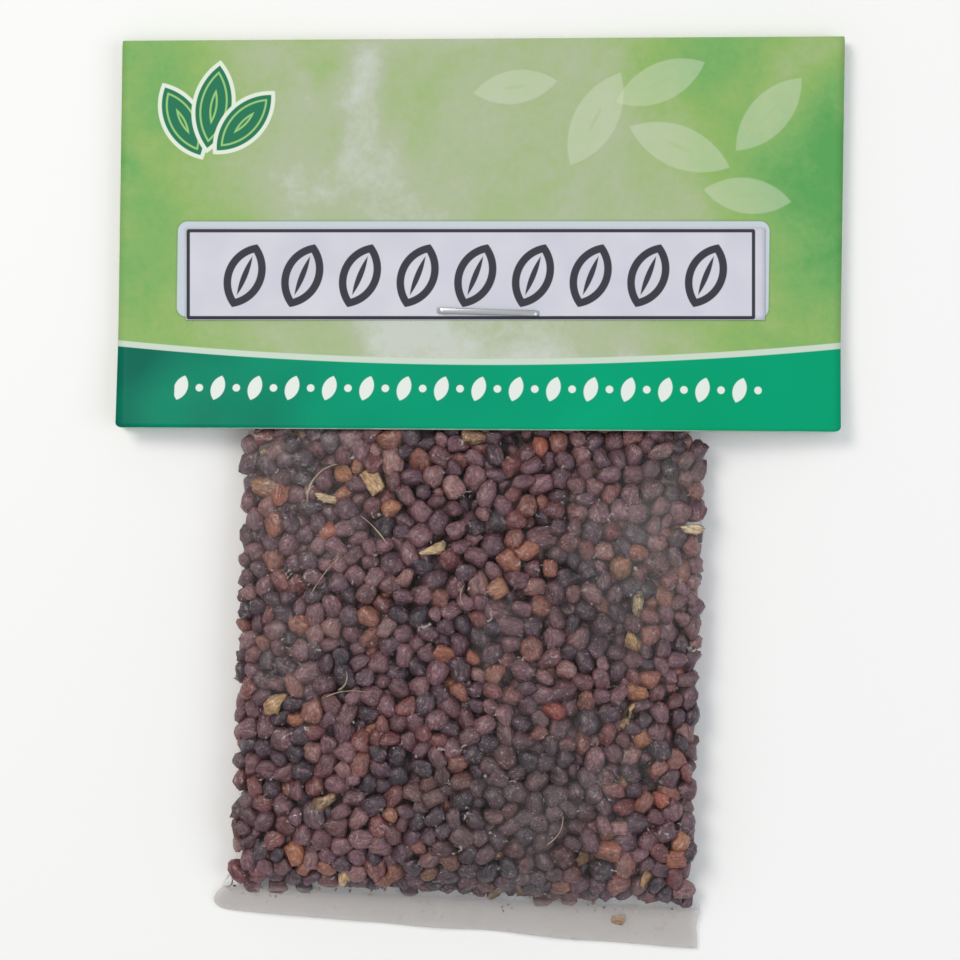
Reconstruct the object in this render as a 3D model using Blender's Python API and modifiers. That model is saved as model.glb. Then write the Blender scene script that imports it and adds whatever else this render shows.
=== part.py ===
"""A stapled sachet of cardamom seeds, lying on its back: film bag, seeds, folded card, label, staple.

Metres, +Z up. The front faces +Z, the card's fold is at +Y and the bag's welded hem at -Y.
The origin is under the middle of the whole sachet, on the surface that it lies on.
"""

import math
import random

import bmesh
import bpy
from mathutils import Matrix, Vector

GAP = 0.00025               # between pieces that touch on the real thing

# Header card: one sheet folded over the bag's neck
CARD_WIDTH = 0.0896
CARD_FOLD_Y = 0.0566
CARD_LOW_Y = 0.0079
CARD_SHEET = 0.00035
CARD_CORNER = 0.0008
CARD_LEAN = 0.0007          # how far the fold stands to the right of the lower edge
CARD_TAPER = 0.0011         # how much taller the leaf is cut at its right end
CARD_LIFT = 0.0039          # how far the filled bag pushes up the front leaf's lower edge
CARD_LIFT_FROM_Y = 0.0212
CARD_LIFT_CURVE = 1.3
CARD_LIFT_REACH = 0.038     # the lift fades towards the leaf's two ends
CARD_COLUMNS = 16
CARD_LIFT_ROWS = 8
CARD_FOLD_ROWS = 6
CARD_FLAT_Y = (0.0400, 0.0225)    # one row of corners on each leaf's flat part

# Staple: one bent wire, a little tilted on the card
STAPLE_WIRE = 0.0005
STAPLE_CROWN = 0.0128
STAPLE_TIP = 0.0043         # length of each leg that is clinched behind
STAPLE_BEND = 0.00045
STAPLE_BEND_STEPS = 3
STAPLE_CENTRE = (0.0009, 0.0225)
STAPLE_TILT = math.radians(-1.7)
STAPLE_CLEARANCE = 0.0002

# Name label: a paper strip on the front leaf
LABEL_LEFT = -0.0366
LABEL_RIGHT = 0.0352
LABEL_LOW_Y = 0.0215
LABEL_HIGH_Y = 0.0329
LABEL_SHEET = 0.00015

# Film bag: a flat neck, a filled pillow and a welded hem
FILM = 0.00015
NECK_SPACE = 0.0003         # between the two films in the flat neck
BAG_MOUTH_Y = 0.0460
BAG_END_Y = -0.0502         # where the filling stops and the weld begins
BAG_HALF_WIDTH = 0.0290
BAG_CROWN = 0.0090          # thickest place
BAG_CROWN_RUN = 0.0200      # length over which it thickens below the card
BAG_END_ROUND = 0.0090
BAG_EDGE_SHARE = 0.38       # height of the side edges, as a share of the thickness
BAG_FLAT_SHARE = 0.90       # share of the back that lies flat
BAG_SHOULDER = 3.2          # how square the front's section is
BAG_STEP_Y = 0.0012         # where the back begins to rise over the card's back leaf
BAG_STEP_RUN = 0.0062
BAG_SIDE_SKIN = 1.5         # a skin's depth at the sides, as a share of its depth in front
BAG_MIDDLE_X = -0.0007
BAG_LEAN = 0.029            # sideways run of the bag per unit of length
BAG_SLANT = 0.030           # how much faster the right side runs down than the middle
NECK_FLARE = 0.0015
NECK_FLARE_RUN = 0.0120
HEM_FLARE = 0.0011
HEM_FLARE_RUN = 0.0040
HEM_LOW_Z = 0.0003
HEM_RISE_RUN = 0.0020
HEM_MOUTH = 0.0010
HEM_SHEET = 0.0004
HEM_STEPS = (0.0008, 0.0024, 0.0009)
HEM_SLANT = 0.0010
HEM_CORNER = 0.0009
HEM_CORNER_CURVE = 9
BAG_STATIONS = (BAG_MOUTH_Y, 0.0300, 0.0225, 0.0200, 0.0170, 0.0140, 0.0110, 0.0079, 0.0055, 0.0030,
                0.0, -0.0050, -0.0120, -0.0220, -0.0330, -0.0412, -0.0440, -0.0466, -0.0486,
                -0.0497, BAG_END_Y)
BAG_RING = 28

# Seeds: larger than life, standing out all round from the heap's core
SEED_PITCH = 0.0045
SEED_RELIEF = 0.0021
SEED_RELIEF_SHARE = 0.30    # of the bag's thickness, where it is thin
SEED_STEPS = ((0.96, 0.52), (0.50, 1.0))    # width and height of a seed's rings, as shares
SEED_TOP_Y = 0.0086
SEED_END_Y = -0.0492
SEED_JITTER = 0.20
SEED_TILT = math.radians(14.0)

# Heights of the stack at the staple, from the surface up
CARD_BACK_Z = STAPLE_WIRE + GAP
NECK_LOW_Z = CARD_BACK_Z + CARD_SHEET + GAP
NECK_HIGH_Z = NECK_LOW_Z + 2 * FILM + NECK_SPACE
LEAF_LOW_Z = NECK_HIGH_Z + GAP
LEAF_HIGH_Z = LEAF_LOW_Z + CARD_SHEET
LABEL_LOW_Z = LEAF_HIGH_Z + GAP
CROWN_Z = LABEL_LOW_Z + LABEL_SHEET + GAP + STAPLE_WIRE / 2


def smooth(value):
    """Ease from 0 to 1."""
    value = min(1.0, max(0.0, value))
    return value * value * (3.0 - 2.0 * value)


def clear_scene():
    for item in list(bpy.data.objects):
        bpy.data.objects.remove(item)


def new_collection(name):
    collection = bpy.data.collections.new(name)
    bpy.context.scene.collection.children.link(collection)
    return collection


def new_material(name, colour, roughness, metallic=0.0, alpha=1.0):
    material = bpy.data.materials.new(name)
    material.use_nodes = True
    shader = material.node_tree.nodes["Principled BSDF"]
    shader.inputs["Base Color"].default_value = (*colour, 1.0)
    shader.inputs["Roughness"].default_value = roughness
    shader.inputs["Metallic"].default_value = metallic
    shader.inputs["Alpha"].default_value = alpha
    return material


def add_mesh(bm, name, collection, material):
    """Turn a bmesh into a named object."""
    mesh = bpy.data.meshes.new(name)
    bm.to_mesh(mesh)
    bm.free()
    mesh.materials.append(material)
    item = bpy.data.objects.new(name, mesh)
    collection.objects.link(item)
    return item


def grid_surface(columns, rows, place):
    """A grid of cells whose corners are put where place(column, row) says, and remember both."""
    bm = bmesh.new()
    bmesh.ops.create_grid(bm, x_segments=columns, y_segments=rows, size=1.0)
    column_mark = bm.verts.layers.int.new("column")
    row_mark = bm.verts.layers.int.new("row")
    for vertex in bm.verts:
        vertex[column_mark] = round((vertex.co.x + 1.0) / 2.0 * columns)
        vertex[row_mark] = round((vertex.co.y + 1.0) / 2.0 * rows)
        vertex.co = place(vertex[column_mark], vertex[row_mark])
    return bm


def cut(item, cutters):
    """Cut item with every object of the cutters' collection."""
    boolean = item.modifiers.new("staple_holes", "BOOLEAN")
    boolean.operation = "DIFFERENCE"
    boolean.operand_type = "COLLECTION"
    boolean.collection = cutters


# The filled bag's shape

def leaf_lift(x, y):
    """How far the front leaf is pushed up at a place."""
    down = max(0.0, CARD_LIFT_FROM_Y - y) / (CARD_LIFT_FROM_Y - CARD_LOW_Y)
    return CARD_LIFT * down ** CARD_LIFT_CURVE / (1.0 + (x / CARD_LIFT_REACH) ** 4)


def bag_low(y):
    """Height of the bag's back: on the surface, and over the card's back leaf in the neck."""
    neck = smooth((y - BAG_STEP_Y) / BAG_STEP_RUN)
    end = smooth((BAG_END_Y + HEM_RISE_RUN - y) / HEM_RISE_RUN)
    return NECK_LOW_Z * neck + HEM_LOW_Z * end


def end_share(y):
    """0 over most of the bag, rising to 1 where the filling stops."""
    return 1.0 - min(1.0, (y - BAG_END_Y) / BAG_END_ROUND)


def bag_high(y):
    """Height of the bag's front along its middle line."""
    under_leaf = NECK_HIGH_Z + leaf_lift(0.0, max(y, CARD_LOW_Y))
    run = min(1.0, max(0.0, CARD_LOW_Y - y) / BAG_CROWN_RUN)
    high = under_leaf + (BAG_CROWN - under_leaf) * math.sin(math.pi / 2 * run)
    hem_high = HEM_LOW_Z + HEM_MOUTH
    return hem_high + (high - hem_high) * math.sqrt(1.0 - end_share(y) ** 2)


def bag_half_width(y):
    neck = smooth((y - CARD_LOW_Y) / NECK_FLARE_RUN)
    hem = smooth((BAG_END_Y + HEM_FLARE_RUN - y) / HEM_FLARE_RUN)
    return BAG_HALF_WIDTH + NECK_FLARE * neck + HEM_FLARE * hem


def bag_place(across, y, z, half_width):
    """Place a point by its share of the half width, its length coordinate and its height."""
    x = BAG_MIDDLE_X + BAG_LEAN * (y - CARD_LOW_Y) + across * half_width
    slant = BAG_SLANT * max(0.0, -y)
    return Vector((x, y - across * slant, z))


def bag_point(turn, y, skin):
    """A point of the bag's section at y; turn runs 0 to 1 round it, skin is a depth inside it."""
    across = math.cos(2.0 * math.pi * turn)
    low = bag_low(y)
    high = bag_high(y)
    edge = low + BAG_EDGE_SHARE * (high - low)
    if math.sin(2.0 * math.pi * turn) >= 0.0:
        z = edge + (high - skin - edge) * math.sqrt(max(0.0, 1.0 - abs(across) ** BAG_SHOULDER))
    else:
        over = max(0.0, abs(across) - BAG_FLAT_SHARE) / (1.0 - BAG_FLAT_SHARE)
        z = edge - (edge - low - skin) * math.sqrt(max(0.0, 1.0 - over * over))
    return bag_place(across, y, z, bag_half_width(y) - BAG_SIDE_SKIN * skin)


def make_bag(collection):
    """A tube of film with an outer and an inner wall, open at the mouth and welded at its end."""

    def place(column, row, skin=0.0):
        return bag_point(column / BAG_RING, BAG_STATIONS[row], skin)

    bm = grid_surface(BAG_RING, len(BAG_STATIONS) - 1, place)
    column_mark = bm.verts.layers.int["column"]
    row_mark = bm.verts.layers.int["row"]
    bmesh.ops.remove_doubles(bm, verts=bm.verts, dist=1e-7)
    bmesh.ops.triangulate(bm, faces=bm.faces)
    mouth = [e for e in bm.edges if all(vertex[row_mark] == 0 for vertex in e.verts)]
    outer = bm.verts[:]
    twins = bmesh.ops.duplicate(bm, geom=bm.verts[:] + bm.edges[:] + bm.faces[:])["vert_map"]
    for vertex in outer:
        twins[vertex].co = place(vertex[column_mark], vertex[row_mark], FILM)
    for edge in mouth:
        left, right = edge.verts
        bm.faces.new((left, right, twins[right], twins[left]))
    ends = [e for e in bm.edges if e.is_boundary]
    welds = bmesh.ops.holes_fill(bm, edges=ends, sides=0)["faces"]
    add_hem(bm, max(welds, key=lambda face: face.calc_area()))
    bmesh.ops.recalc_face_normals(bm, faces=bm.faces)
    film = new_material("clear_film", (0.74, 0.73, 0.70), 0.25, alpha=0.35)
    return add_mesh(bm, "bag_film", collection, film)


def add_hem(bm, weld):
    """Draw the weld face out into the flat hem, in three steps, with cut-off corners."""
    middle_z = HEM_LOW_Z + HEM_MOUTH / 2
    y = BAG_END_Y
    for step, length in enumerate(HEM_STEPS):
        grown = bmesh.ops.extrude_face_region(bm, geom=[weld])["geom"]
        bmesh.ops.delete(bm, geom=[weld], context="FACES_ONLY")
        weld = next(part for part in grown if isinstance(part, bmesh.types.BMFace))
        y -= length
        middle_x = BAG_MIDDLE_X + BAG_LEAN * (y - CARD_LOW_Y)
        half_width = BAG_HALF_WIDTH + HEM_FLARE
        for vertex in weld.verts:
            across = (vertex.co.x - middle_x) / half_width
            vertex.co.y -= length + across * HEM_SLANT * length / sum(HEM_STEPS)
            vertex.co.x -= BAG_LEAN * length
            if step == 0:
                vertex.co.z = middle_z + (vertex.co.z - middle_z) * HEM_SHEET / HEM_MOUTH
            if step == len(HEM_STEPS) - 1:
                vertex.co.x -= across ** HEM_CORNER_CURVE * HEM_CORNER


# Seeds

def even_steps(points, pitch):
    """Places along a line of points, about a pitch apart, as positions in the list."""
    reach = [0.0]
    for before, after in zip(points, points[1:]):
        reach.append(reach[-1] + (after - before).length)
    count = max(1, round(reach[-1] / pitch))
    steps = []
    for step in range(count + 1):
        wanted = reach[-1] * step / count
        index = next(i for i, r in enumerate(reach) if r >= wanted - 1e-9)
        if index == 0:
            steps.append(0.0)
            continue
        part = (wanted - reach[index - 1]) / (reach[index] - reach[index - 1])
        steps.append(index - 1 + part)
    return steps


def seed_relief(y):
    """How far the seeds stand out of the core: less where the bag is thin."""
    return min(SEED_RELIEF, SEED_RELIEF_SHARE * (bag_high(y) - bag_low(y)))


def seed_skin(y):
    return FILM + GAP + seed_relief(y)


def seed_rows():
    """The y of each row of seeds, evenly spaced along the heap's front."""
    samples = 300
    run = SEED_TOP_Y - SEED_END_Y
    ys = [SEED_TOP_Y - run * i / samples for i in range(samples + 1)]
    line = [Vector((0.0, y, bag_high(y) - seed_skin(y))) for y in ys]
    return [SEED_TOP_Y - run * step / samples for step in even_steps(line, SEED_PITCH * 0.87)]


def seed_core(rng):
    """A closed net of triangles round the heap, with one corner in the middle of each seed."""
    rows = seed_rows()
    samples = 360
    lines = [[bag_point(i / samples, y, seed_skin(y)) for i in range(samples + 1)] for y in rows]
    ring = len(even_steps(lines[len(rows) // 2], SEED_PITCH)) - 1
    turns = []
    for line in lines:
        length = sum((b - a).length for a, b in zip(line, line[1:]))
        turns.append([step / samples for step in even_steps(line, length / ring)])

    def place(column, row):
        low, high = turns[row][column % ring], turns[row][column % ring + 1]
        y = rows[row]
        inward = Vector((0.0, seed_skin(y) * end_share(y), 0.0))
        return bag_point(low + (high - low) * 0.5 * (row % 2), y, seed_skin(y)) + inward

    bm = grid_surface(ring, len(rows) - 1, place)
    bmesh.ops.remove_doubles(bm, verts=bm.verts, dist=1e-6)
    bmesh.ops.triangulate(bm, faces=bm.faces, quad_method="SHORT_EDGE")
    bmesh.ops.holes_fill(bm, edges=[e for e in bm.edges if e.is_boundary], sides=0)
    bmesh.ops.triangulate(bm, faces=[f for f in bm.faces if len(f.verts) > 3])
    bmesh.ops.recalc_face_normals(bm, faces=bm.faces)
    bm.normal_update()
    row_mark = bm.verts.layers.int["row"]
    relief_mark = bm.verts.layers.float.new("relief")
    for vertex in bm.verts:
        vertex[relief_mark] = seed_relief(rows[vertex[row_mark]])
        shift = Vector([rng.uniform(-1.0, 1.0) for _ in range(3)]) * SEED_JITTER * SEED_PITCH
        vertex.co += shift - shift.dot(vertex.normal) * vertex.normal
    return bm


def make_seeds(collection):
    """Every corner of the core's net is cut to a many-sided patch, which is raised to a seed."""
    rng = random.Random(7)
    bm = seed_core(rng)
    mark = bm.faces.layers.int.new("seed")
    cut_corners = bmesh.ops.bevel(bm, geom=bm.verts[:], offset=50.0, offset_type="PERCENT",
                                  affect="VERTICES", segments=1, profile=0.5, material=-1)
    for face in cut_corners["faces"]:
        face[mark] = 1
    bmesh.ops.remove_doubles(bm, verts=bm.verts, dist=1e-6)
    for patch in [face for face in bm.faces if face[mark] == 1]:
        raise_seed(bm, patch, rng)
    seed = new_material("cardamom_seed", (0.105, 0.062, 0.058), 0.6)
    return add_mesh(bm, "seed_fill", collection, seed)


def raise_seed(bm, patch, rng):
    """Draw one patch out to a domed seed with a tilted top."""
    centre = patch.calc_center_median()
    out = patch.normal.copy()
    relief_mark = bm.verts.layers.float["relief"]
    rise = min(vertex[relief_mark] for vertex in patch.verts) * rng.uniform(0.70, 0.90)
    axis = Vector([rng.uniform(-1.0, 1.0) for _ in range(3)]).normalized()
    tilt = Matrix.Rotation(rng.uniform(-SEED_TILT, SEED_TILT), 3, axis)
    foot = [vertex.co - centre for vertex in patch.verts]
    for width, height in SEED_STEPS:
        patch = bmesh.ops.extrude_discrete_faces(bm, faces=[patch])["faces"][0]
        for vertex, corner in zip(patch.verts, foot):
            vertex.co = centre + tilt @ (corner * width) + out * rise * height


# Card, label and staple

def card_line():
    """The sheet's outer face from the front leaf's lower edge over the fold to the back leaf's."""
    radius = (LEAF_HIGH_Z - CARD_BACK_Z) / 2
    line = []
    for step in range(CARD_LIFT_ROWS + 1):
        y = CARD_LOW_Y + (CARD_LIFT_FROM_Y - CARD_LOW_Y) * step / CARD_LIFT_ROWS
        line.append((y, LEAF_HIGH_Z))
    line.append((CARD_FLAT_Y[0], LEAF_HIGH_Z))
    for step in range(CARD_FOLD_ROWS + 1):
        angle = math.pi * step / CARD_FOLD_ROWS
        y = CARD_FOLD_Y - radius + radius * math.sin(angle)
        line.append((y, CARD_BACK_Z + radius * (1.0 + math.cos(angle))))
    line.append((CARD_FLAT_Y[1], CARD_BACK_Z))
    line.append((CARD_LOW_Y, CARD_BACK_Z))
    return line


def make_card(collection, cutters):
    """One folded sheet, its front leaf bent up by the bag."""
    line = card_line()
    middle_y = (CARD_FOLD_Y + CARD_LOW_Y) / 2

    def place(column, row):
        x = CARD_WIDTH * (column / CARD_COLUMNS - 0.5)
        y, z = line[row]
        if row <= CARD_LIFT_ROWS:
            z += leaf_lift(x, y)
        up = (y - middle_y) / (CARD_FOLD_Y - CARD_LOW_Y)
        return Vector((x + CARD_LEAN * up, y + CARD_TAPER * up * x / CARD_WIDTH, z))

    bm = grid_surface(CARD_COLUMNS, len(line) - 1, place)
    corners = [v for v in bm.verts if len(v.link_edges) == 2]
    bmesh.ops.bevel(bm, geom=corners, offset=CARD_CORNER, affect="VERTICES", segments=2, profile=0.5,
                    material=-1)
    bmesh.ops.recalc_face_normals(bm, faces=bm.faces)
    if max(bm.faces, key=lambda f: f.calc_center_median().z).normal.z < 0.0:
        bmesh.ops.reverse_faces(bm, faces=bm.faces)
    card = new_material("printed_card", (0.33, 0.55, 0.21), 0.4)
    item = add_mesh(bm, "header_card", collection, card)
    wall = item.modifiers.new("sheet", "SOLIDIFY")
    wall.thickness = CARD_SHEET
    wall.offset = -1.0
    wall.use_even_offset = True
    cut(item, cutters)
    return item


def make_label(collection, cutters):
    """A flat paper strip."""
    bm = bmesh.new()
    size = Vector((LABEL_RIGHT - LABEL_LEFT, LABEL_HIGH_Y - LABEL_LOW_Y, LABEL_SHEET))
    middle_z = LABEL_LOW_Z + LABEL_SHEET / 2
    centre = Vector(((LABEL_RIGHT + LABEL_LEFT) / 2, (LABEL_HIGH_Y + LABEL_LOW_Y) / 2, middle_z))
    bmesh.ops.create_cube(bm, size=1.0)
    bmesh.ops.scale(bm, vec=size, verts=bm.verts)
    bmesh.ops.translate(bm, vec=centre, verts=bm.verts)
    paper = new_material("label_paper", (0.75, 0.76, 0.82), 0.7)
    item = add_mesh(bm, "name_label", collection, paper)
    cut(item, cutters)
    return item


def staple_place(along, z):
    """A place on the staple's middle plane, by its distance from the staple's centre."""
    x = STAPLE_CENTRE[0] + along * math.cos(STAPLE_TILT)
    y = STAPLE_CENTRE[1] + along * math.sin(STAPLE_TILT)
    return Vector((x, y, z))


def staple_line():
    """The wire's middle line as distance along the staple and height, with rounded bends."""
    half = (STAPLE_CROWN - STAPLE_WIRE) / 2
    low = STAPLE_WIRE / 2
    bend = STAPLE_BEND
    centres = [(-half + bend, low + bend, 270.0), (-half + bend, CROWN_Z - bend, 180.0),
               (half - bend, CROWN_Z - bend, 90.0), (half - bend, low + bend, 0.0)]
    line = [(-half + STAPLE_TIP, low)]
    for along, z, first in centres:
        for step in range(STAPLE_BEND_STEPS + 1):
            angle = math.radians(first - 90.0 * step / STAPLE_BEND_STEPS)
            line.append((along + bend * math.cos(angle), z + bend * math.sin(angle)))
    line.append((half - STAPLE_TIP, low))
    return line


def make_staple(collection):
    """A round wire along the staple's line."""
    points = [staple_place(along, z) for along, z in staple_line()]
    curve = bpy.data.curves.new("staple", "CURVE")
    curve.dimensions = "3D"
    curve.bevel_depth = STAPLE_WIRE / 2
    curve.bevel_resolution = 2
    curve.use_fill_caps = True
    spline = curve.splines.new("POLY")
    spline.points.add(len(points) - 1)
    for target, point in zip(spline.points, points):
        target.co = (*point, 1.0)
    curve.materials.append(new_material("staple_wire", (0.62, 0.63, 0.65), 0.3, metallic=1.0))
    item = bpy.data.objects.new("staple", curve)
    collection.objects.link(item)
    return item


def make_leg_cutters(collection):
    """Two rods that clear the staple's legs through film, card and label."""
    half = (STAPLE_CROWN - STAPLE_WIRE) / 2
    radius = STAPLE_WIRE / 2 + STAPLE_CLEARANCE
    for name, along in (("left_leg", -half), ("right_leg", half)):
        bm = bmesh.new()
        bmesh.ops.create_cone(bm, cap_ends=True, segments=8, radius1=radius, radius2=radius,
                              depth=2 * CROWN_Z)
        bmesh.ops.translate(bm, vec=staple_place(along, CROWN_Z / 2), verts=bm.verts)
        item = add_mesh(bm, name, collection, bpy.data.materials["staple_wire"])
        item.hide_render = True
        item.display_type = "WIRE"


def main():
    clear_scene()
    sachet = new_collection("cardamom_seed_sachet")
    cutters = new_collection("cutters")
    make_staple(sachet)
    make_leg_cutters(cutters)
    bag = make_bag(sachet)
    cut(bag, cutters)
    make_seeds(sachet)
    make_card(sachet, cutters)
    make_label(sachet, cutters)


main()
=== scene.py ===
# A stapled sachet of cardamom seeds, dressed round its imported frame.
# Metres, +Z out of the printed front, +Y towards the card's fold.
import math
import random
from functools import partial

import bmesh
import bpy
import numpy as np
from mathutils import Euler, Matrix, Vector, noise
from mathutils.bvhtree import BVHTree


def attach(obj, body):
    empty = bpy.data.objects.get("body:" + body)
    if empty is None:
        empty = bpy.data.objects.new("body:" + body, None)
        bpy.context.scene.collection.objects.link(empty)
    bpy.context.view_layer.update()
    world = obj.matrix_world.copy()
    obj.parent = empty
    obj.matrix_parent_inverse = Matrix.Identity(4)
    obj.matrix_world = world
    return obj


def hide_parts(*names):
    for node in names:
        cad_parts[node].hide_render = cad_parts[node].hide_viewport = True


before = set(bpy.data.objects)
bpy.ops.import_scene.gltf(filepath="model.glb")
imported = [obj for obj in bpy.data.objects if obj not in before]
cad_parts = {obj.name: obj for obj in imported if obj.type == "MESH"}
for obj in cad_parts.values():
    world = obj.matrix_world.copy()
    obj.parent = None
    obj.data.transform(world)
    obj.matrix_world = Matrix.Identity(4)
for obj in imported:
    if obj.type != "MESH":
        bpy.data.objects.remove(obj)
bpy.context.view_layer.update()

mm = 0.001


# Helpers

def linear(hexColour, alpha=1.0):
    parts = [int(hexColour[i:i + 2], 16) / 255 for i in (1, 3, 5)]
    return (*[p / 12.92 if p <= 0.04045 else ((p + 0.055) / 1.055) ** 2.4 for p in parts], alpha)


smooth = {"interpolation_type": "SMOOTHSTEP"}  # for a Map Range


def addNode(tree, kind, inputs=(), stops=(), **settings):
    # one shader node by its kind, with its operation after a space: its own settings and ramp
    # stops first, then a value or a link for each input, by name or in their order
    kind, _, operation = kind.partition(" ")
    node = tree.nodes.new("ShaderNode" + kind)
    if operation:
        node.operation = operation
    for name, value in settings.items():
        setattr(node, name, value)
    if stops:
        ramp = node.color_ramp.elements
        while len(ramp) < len(stops):
            ramp.new(0.5)
        for stop, (position, colour) in zip(ramp, stops):
            stop.position = position
            stop.color = linear(colour)
    for name, value in (inputs.items() if isinstance(inputs, dict) else enumerate(inputs)):
        if isinstance(value, bpy.types.NodeSocket):
            tree.links.new(value, node.inputs[name])
        else:
            node.inputs[name].default_value = value
    return node.outputs


def newMaterial(name):
    # an empty material, and addNode bound to its tree
    material = bpy.data.materials.new(name)
    material.use_nodes = True
    material.node_tree.nodes.clear()
    return material, partial(addNode, material.node_tree)


def finishMaterial(add, inputs):
    shader = add("BsdfPrincipled", inputs)
    add("OutputMaterial", {"Surface": shader[0]})


def toMesh(bm, name):
    mesh = bpy.data.meshes.new(name)
    bm.to_mesh(mesh)
    bm.free()
    return mesh


def addObject(name, data):
    thing = bpy.data.objects.new(name, data)
    bpy.context.scene.collection.objects.link(thing)
    return thing


def makePiece(name, bm, materials):
    # a bmesh becomes a shown piece of the sachet
    mesh = toMesh(bm, name)
    for material in materials:
        mesh.materials.append(material)
    mesh.shade_smooth()
    piece = addObject(name, mesh)
    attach(piece, "root")
    return piece


def flatGrid(columns, rows, half=1.0, uvs=False):
    # a flat grid by its half size, which may keep each point's place on the sheet as its UV
    bm = bmesh.new()
    if uvs:
        bm.loops.layers.uv.new("sheetPlace")
    bmesh.ops.create_grid(bm, x_segments=columns, y_segments=rows, size=half, calc_uvs=uvs)
    return bm


def roundCorners(bm, corners, radius):
    bmesh.ops.bevel(bm, geom=corners, offset=radius, affect="VERTICES", segments=3, profile=0.5,
                    material=-1)


def closeSkin(bm):
    # merge the seam, close the ends and turn every face outwards
    bmesh.ops.remove_doubles(bm, verts=bm.verts, dist=1e-6)
    bmesh.ops.holes_fill(bm, edges=[e for e in bm.edges if e.is_boundary], sides=0)
    bmesh.ops.recalc_face_normals(bm, faces=bm.faces)


def surfaceOf(pieces):
    # the surface of some pieces together, to measure from
    bm = bmesh.new()
    for piece in pieces:
        bm.from_mesh(piece.data)
    surface = BVHTree.FromBMesh(bm)
    bm.free()
    return surface


def thicken(piece, thickness):
    # a wall grown inwards from the outer skin
    wall = piece.modifiers.new("sheet", "SOLIDIFY")
    wall.thickness = thickness
    wall.offset = -1.0
    return wall


def ease(value):
    value = min(1.0, max(0.0, value))
    return value * value * (3.0 - 2.0 * value)


# Studio

studio = {
    "photoPixel": 0.124 * mm,  # one pixel of the photo, on the sachet
    "photoSize": 960,
    "aim": (-0.12 * mm, 1.67 * mm, 2.6 * mm), "lens": 85.0, "sensor": 36.0,
    "floorColour": "#FCFCFB", "floorSize": 1.6,
    "skyColour": "#F2F5F8", "skyStrength": 0.60,
    "lamps": (
        # place, size, power, colour
        ((-0.34, 0.30, 0.62), 0.30, 2.4, "#FFF9F0"),
        ((0.46, -0.12, 0.52), 0.42, 0.9, "#F3F7FF"),
    ),
}


def makeStudio():
    scene = bpy.context.scene
    scene.view_settings.view_transform = "Standard"
    camera = bpy.data.cameras.new("camera")
    camera.lens = studio["lens"]
    camera.sensor_width = studio["sensor"]
    camera.clip_start = 0.01
    scene.camera = addObject("camera", camera)
    away = studio["photoPixel"] * studio["photoSize"] * studio["lens"] / studio["sensor"]
    scene.camera.location = Vector(studio["aim"]) + Vector((0, 0, away))
    for place, size, power, colour in studio["lamps"]:
        lamp = bpy.data.lights.new("softbox", "AREA")
        lamp.size = size
        lamp.energy = power
        lamp.color = linear(colour)[:3]
        holder = addObject("softbox", lamp)
        holder.location = place
        sight = Vector(studio["aim"]) - Vector(place)
        holder.rotation_euler = sight.to_track_quat("-Z", "Y").to_euler()
    world = bpy.data.worlds.new("studio")
    world.use_nodes = True
    background = world.node_tree.nodes["Background"]
    background.inputs["Color"].default_value = linear(studio["skyColour"])
    background.inputs["Strength"].default_value = studio["skyStrength"]
    scene.world = world
    makeFloor()


def makeFloor():
    # Painted board, matt and pale: it takes a soft shadow and gives the eye nothing else.
    material, add = newMaterial("mattPaintedBoard")
    finishMaterial(add, {"Base Color": linear(studio["floorColour"]), "Roughness": 0.85})
    bm = flatGrid(1, 1, studio["floorSize"])
    bmesh.ops.translate(bm, verts=bm.verts, vec=(0, 0, -0.02 * mm))
    mesh = toMesh(bm, "floor")
    mesh.materials.append(material)
    floor = addObject("floor", mesh)


# The bag's shape, as the frame has it

bag = {
    "mouthY": 46.0 * mm, "cardY": 7.9 * mm, "endY": -50.2 * mm,
    "halfWidth": 29.0 * mm, "crown": 9.0 * mm, "crownRun": 20.0 * mm, "endRound": 9.0 * mm,
    "edgeShare": 0.38, "flatShare": 0.90, "shoulder": 3.2,
    "stepY": 1.2 * mm, "stepRun": 6.2 * mm,
    "middleX": -0.7 * mm, "lean": 0.029, "slant": 0.030,
    "neckLowZ": 1.35 * mm, "neckHighZ": 1.95 * mm, "neckFlare": 1.5 * mm, "neckFlareRun": 12.0 * mm,
    "hemLength": 4.2 * mm, "hemLowZ": 0.3 * mm, "hemMouth": 1.0 * mm, "hemRiseRun": 2.0 * mm,
    "hemFlare": 0.8 * mm, "hemFlareRun": 3.0 * mm, "hemSlant": 1.0 * mm,
    "hemSheet": 0.14 * mm, "hemCorner": 0.5 * mm, "hemSpread": 0.5 * mm, "hemWave": 0.22 * mm,
    "hemShift": 0.75 * mm, "hemShiftRun": 2.2 * mm, "hemPinchRun": 1.2 * mm, "hemDrop": 0.27 * mm,
}


def leafLift(x, y):
    # how far the filled bag pushes up the card's front leaf
    down = max(0.0, card["liftFromY"] - y) / (card["liftFromY"] - card["lowY"])
    return card["lift"] * down ** card["liftCurve"] / (1.0 + (x / card["liftReach"]) ** 4)


def bagLow(y):
    neck = ease((y - bag["stepY"]) / bag["stepRun"])
    end = ease((bag["endY"] + bag["hemRiseRun"] - y) / bag["hemRiseRun"])
    return bag["neckLowZ"] * neck + bag["hemLowZ"] * end


def bagHigh(y):
    underLeaf = bag["neckHighZ"] + leafLift(0.0, max(y, bag["cardY"]))
    run = min(1.0, max(0.0, bag["cardY"] - y) / bag["crownRun"])
    high = underLeaf + (bag["crown"] - underLeaf) * math.sin(math.pi / 2 * run)
    hemHigh = bag["hemLowZ"] + bag["hemMouth"]
    end = 1.0 - min(1.0, max(0.0, y - bag["endY"]) / bag["endRound"])
    return hemHigh + (high - hemHigh) * math.sqrt(1.0 - end * end)


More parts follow.
